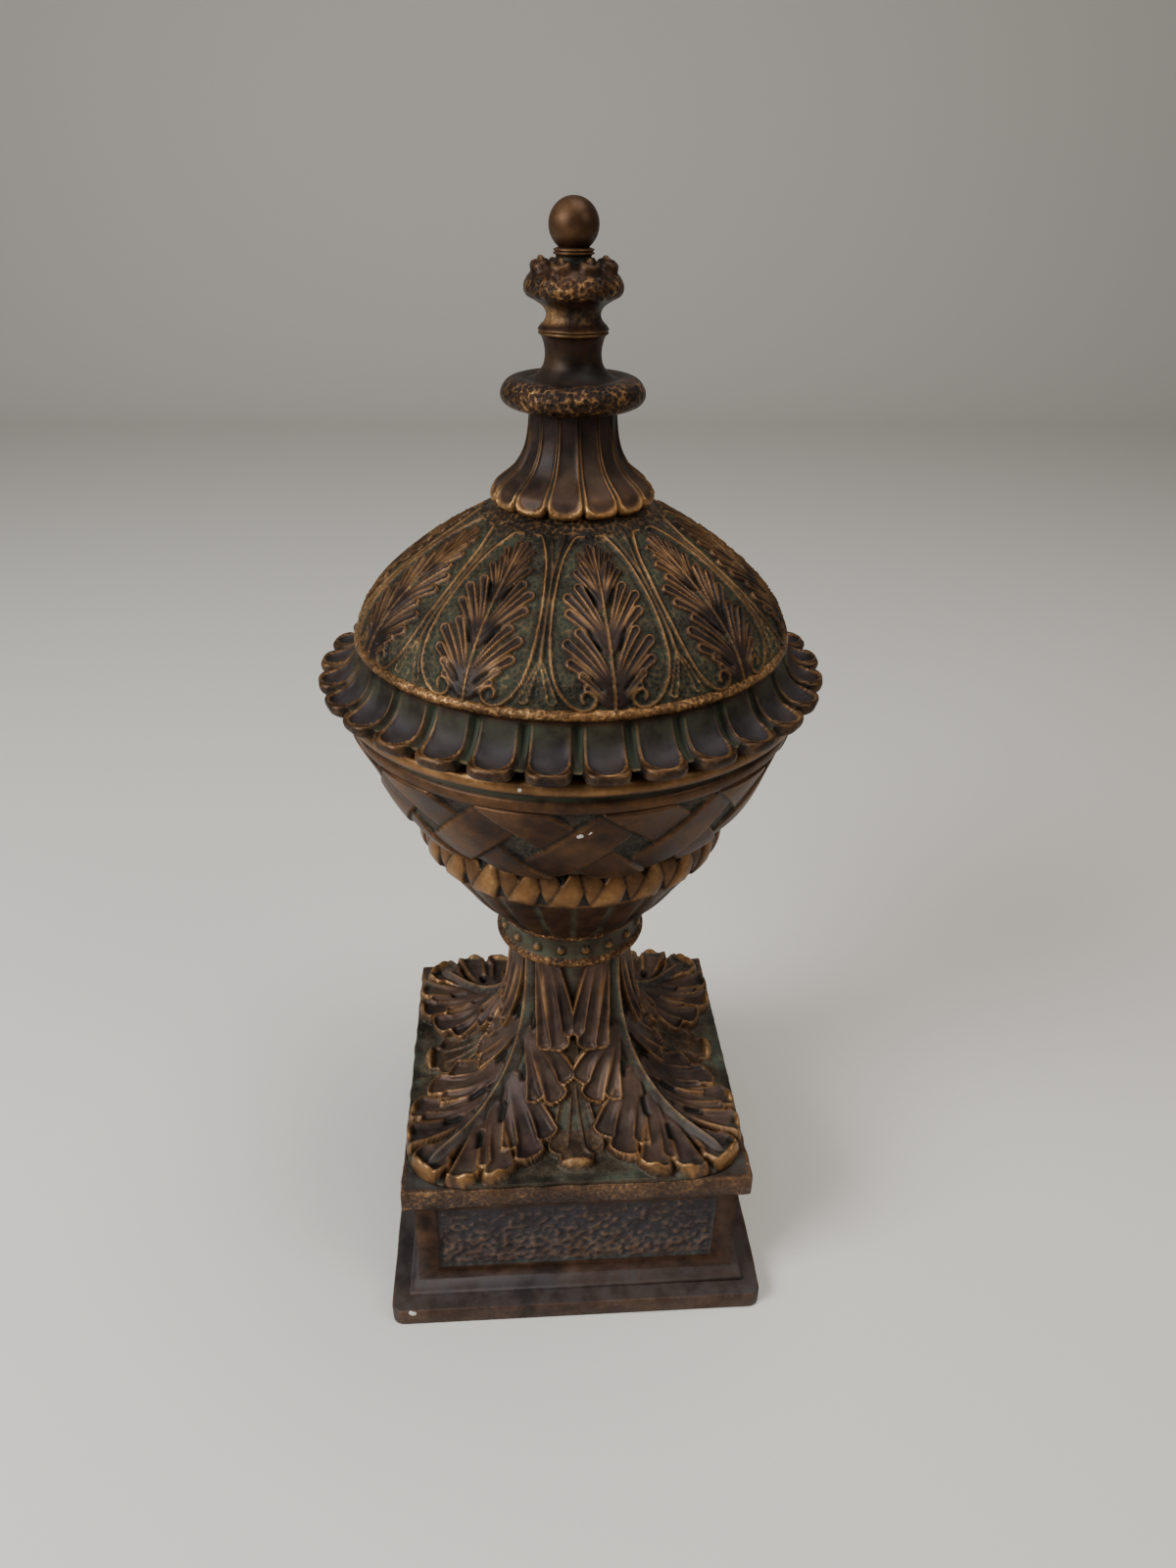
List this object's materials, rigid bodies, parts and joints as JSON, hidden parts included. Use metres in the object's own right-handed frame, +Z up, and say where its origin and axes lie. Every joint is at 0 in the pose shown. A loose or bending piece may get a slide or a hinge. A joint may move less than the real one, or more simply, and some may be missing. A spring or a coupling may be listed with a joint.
{
  "type": "mantel urn",
  "caption": "Lidded mantel urn: a bowl of woven straps on an acanthus-leaf foot and a square panelled plinth, under a domed lid with a scalloped rim and a ball finial.",
  "frame": {"origin": "centre of the underside of the base slab", "axes": "+Z up through the finial; -Y towards the front face of the plinth; +X to its right"},
  "size_m": [0.2504, 0.2502, 0.5802],
  "materials": {
    "body": "satin dark bronze paint, gold rubbed on raised edges, grey-green patina in the hollows",
    "lid": "satin dark bronze paint, gold rubbed on raised edges, olive and slate patina in the hollows"
  },
  "bodies": {
    "root": {"urn_body": "body", "lid": "lid"}
  },
  "joints": []
}
